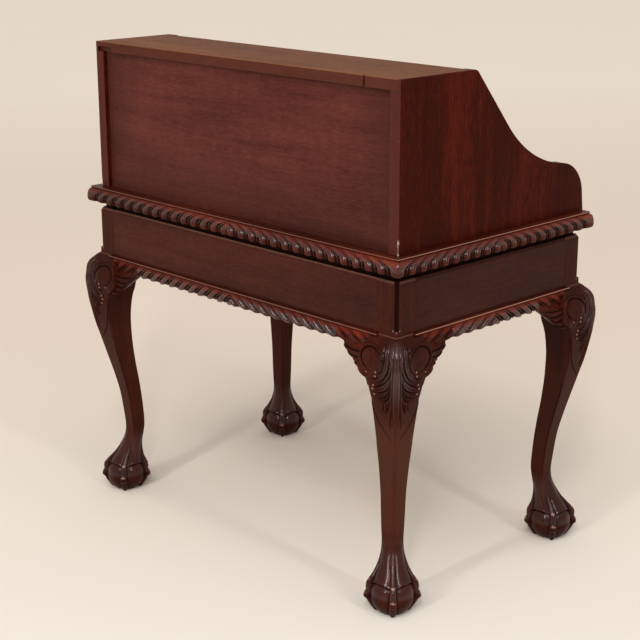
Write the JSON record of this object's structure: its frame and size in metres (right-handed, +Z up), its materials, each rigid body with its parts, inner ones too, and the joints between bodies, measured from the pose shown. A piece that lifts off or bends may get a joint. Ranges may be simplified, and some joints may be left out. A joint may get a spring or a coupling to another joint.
{
  "type": "carlton house desk",
  "caption": "Writing desk on cabriole legs with claw-and-ball feet, carved knees and gadrooned mouldings, and a swept gallery of cupboard, pigeonholes, drawers and lidded wings.",
  "frame": {"origin": "on the floor under the middle of the desk's overall box", "axes": "+X to the right of a person seated at the desk, -Y the front where they sit, +Z up"},
  "size_m": [1.0266, 0.6456, 1.098],
  "materials": {
    "mahogany": "polished, worn, carved",
    "mahogany_frieze": "polished, figured along its length",
    "mahogany_side": "polished, upright grain",
    "mahogany_back": "satin, mottled, lengthways grain",
    "mahogany_top": "faded, matt",
    "mahogany_fittings": "polished",
    "inside_wood": "unpolished",
    "leather": "worn, matt",
    "brass": "aged, satin",
    "screw_steel": "dull"
  },
  "bodies": {
    "case": {"leg_front_left": "mahogany", "leg_front_right": "mahogany", "leg_rear_left": "mahogany", "leg_rear_right": "mahogany", "knee_blocks": "mahogany", "apron_moulding_front": "mahogany", "apron_moulding_rear": "mahogany", "apron_moulding_left": "mahogany", "apron_moulding_right": "mahogany", "edge_moulding_front": "mahogany", "edge_moulding_rear": "mahogany", "edge_moulding_left": "mahogany", "edge_moulding_right": "mahogany", "rear_rail": "mahogany_frieze", "side_rail_left": "mahogany_frieze", "side_rail_right": "mahogany_frieze", "front_top_rail": "mahogany_frieze", "front_bottom_rail": "mahogany_frieze", "side_panel_left": "mahogany_side", "side_panel_right": "mahogany_side", "gallery_back": "mahogany_back", "gallery_top": "mahogany_top", "table_top": "mahogany_fittings", "gallery_partitions": "mahogany_fittings", "gallery_shelves": "mahogany_fittings", "wing_panels": "mahogany_fittings", "drawer_dividers": "inside_wood", "drawer_runners": "inside_wood", "corner_blocks": "inside_wood", "top_bearers": "inside_wood", "writing_leather": "leather", "hinge_leaves": "brass", "top_screws": "screw_steel"},
    "centre_drawer": {"centre_drawer_front": "mahogany_frieze", "centre_drawer_box": "inside_wood", "centre_drawer_plates": "brass"},
    "left_drawer": {"left_drawer_front": "mahogany_frieze", "left_drawer_box": "inside_wood", "left_drawer_plates": "brass"},
    "right_drawer": {"right_drawer_front": "mahogany_frieze", "right_drawer_box": "inside_wood", "right_drawer_plates": "brass"},
    "centre_handle_left": {"centre_bail_left": "brass"},
    "centre_handle_right": {"centre_bail_right": "brass"},
    "left_handle": {"left_bail": "brass"},
    "right_handle": {"right_bail": "brass"},
    "door": {"cupboard_door": "mahogany_fittings", "door_brasses": "brass"},
    "wing_lid_left": {"lid_left": "mahogany_fittings", "lid_brasses_left": "brass"},
    "wing_lid_right": {"lid_right": "mahogany_fittings", "lid_brasses_right": "brass"},
    "left_lower_small_drawer": {"small_drawer_left_lower": "mahogany_fittings", "small_knob_left_lower": "brass"},
    "left_upper_small_drawer": {"small_drawer_left_upper": "mahogany_fittings", "small_knob_left_upper": "brass"},
    "right_lower_small_drawer": {"small_drawer_right_lower": "mahogany_fittings", "small_knob_right_lower": "brass"},
    "right_upper_small_drawer": {"small_drawer_right_upper": "mahogany_fittings", "small_knob_right_upper": "brass"}
  },
  "joints": [
    {"name": "centre_drawer_slide", "type": "slide", "parent": "case", "child": "centre_drawer", "axis": [0, -1, 0], "range_m": [0, 0.38]},
    {"name": "left_drawer_slide", "type": "slide", "parent": "case", "child": "left_drawer", "axis": [0, -1, 0], "range_m": [0, 0.38]},
    {"name": "right_drawer_slide", "type": "slide", "parent": "case", "child": "right_drawer", "axis": [0, -1, 0], "range_m": [0, 0.38]},
    {"name": "centre_handle_left_swing", "type": "hinge", "parent": "centre_drawer", "child": "centre_handle_left", "pos_m": [-0.118, -0.305, 0.6718], "axis": [-1, 0, 0], "range_deg": [0, 95]},
    {"name": "centre_handle_right_swing", "type": "hinge", "parent": "centre_drawer", "child": "centre_handle_right", "pos_m": [0.118, -0.305, 0.6718], "axis": [-1, 0, 0], "range_deg": [0, 95]},
    {"name": "left_handle_swing", "type": "hinge", "parent": "left_drawer", "child": "left_handle", "pos_m": [-0.32275, -0.305, 0.6718], "axis": [-1, 0, 0], "range_deg": [0, 95]},
    {"name": "right_handle_swing", "type": "hinge", "parent": "right_drawer", "child": "right_handle", "pos_m": [0.32275, -0.305, 0.6718], "axis": [-1, 0, 0], "range_deg": [0, 95]},
    {"name": "door_hinge", "type": "hinge", "parent": "case", "child": "door", "pos_m": [-0.11425, 0.082, 0.919], "axis": [0, 0, -1], "range_deg": [0, 90]},
    {"name": "wing_lid_left_hinge", "type": "hinge", "parent": "case", "child": "wing_lid_left", "pos_m": [-0.43075, -0.062, 0.866], "axis": [0, -1, 0], "range_deg": [0, 90]},
    {"name": "wing_lid_right_hinge", "type": "hinge", "parent": "case", "child": "wing_lid_right", "pos_m": [0.43075, -0.062, 0.866], "axis": [0, 1, 0], "range_deg": [0, 90]},
    {"name": "left_lower_small_drawer_slide", "type": "slide", "parent": "case", "child": "left_lower_small_drawer", "axis": [0, -1, 0], "range_m": [0, 0.14]},
    {"name": "left_upper_small_drawer_slide", "type": "slide", "parent": "case", "child": "left_upper_small_drawer", "axis": [0, -1, 0], "range_m": [0, 0.14]},
    {"name": "right_lower_small_drawer_slide", "type": "slide", "parent": "case", "child": "right_lower_small_drawer", "axis": [0, -1, 0], "range_m": [0, 0.14]},
    {"name": "right_upper_small_drawer_slide", "type": "slide", "parent": "case", "child": "right_upper_small_drawer", "axis": [0, -1, 0], "range_m": [0, 0.14]}
  ]
}
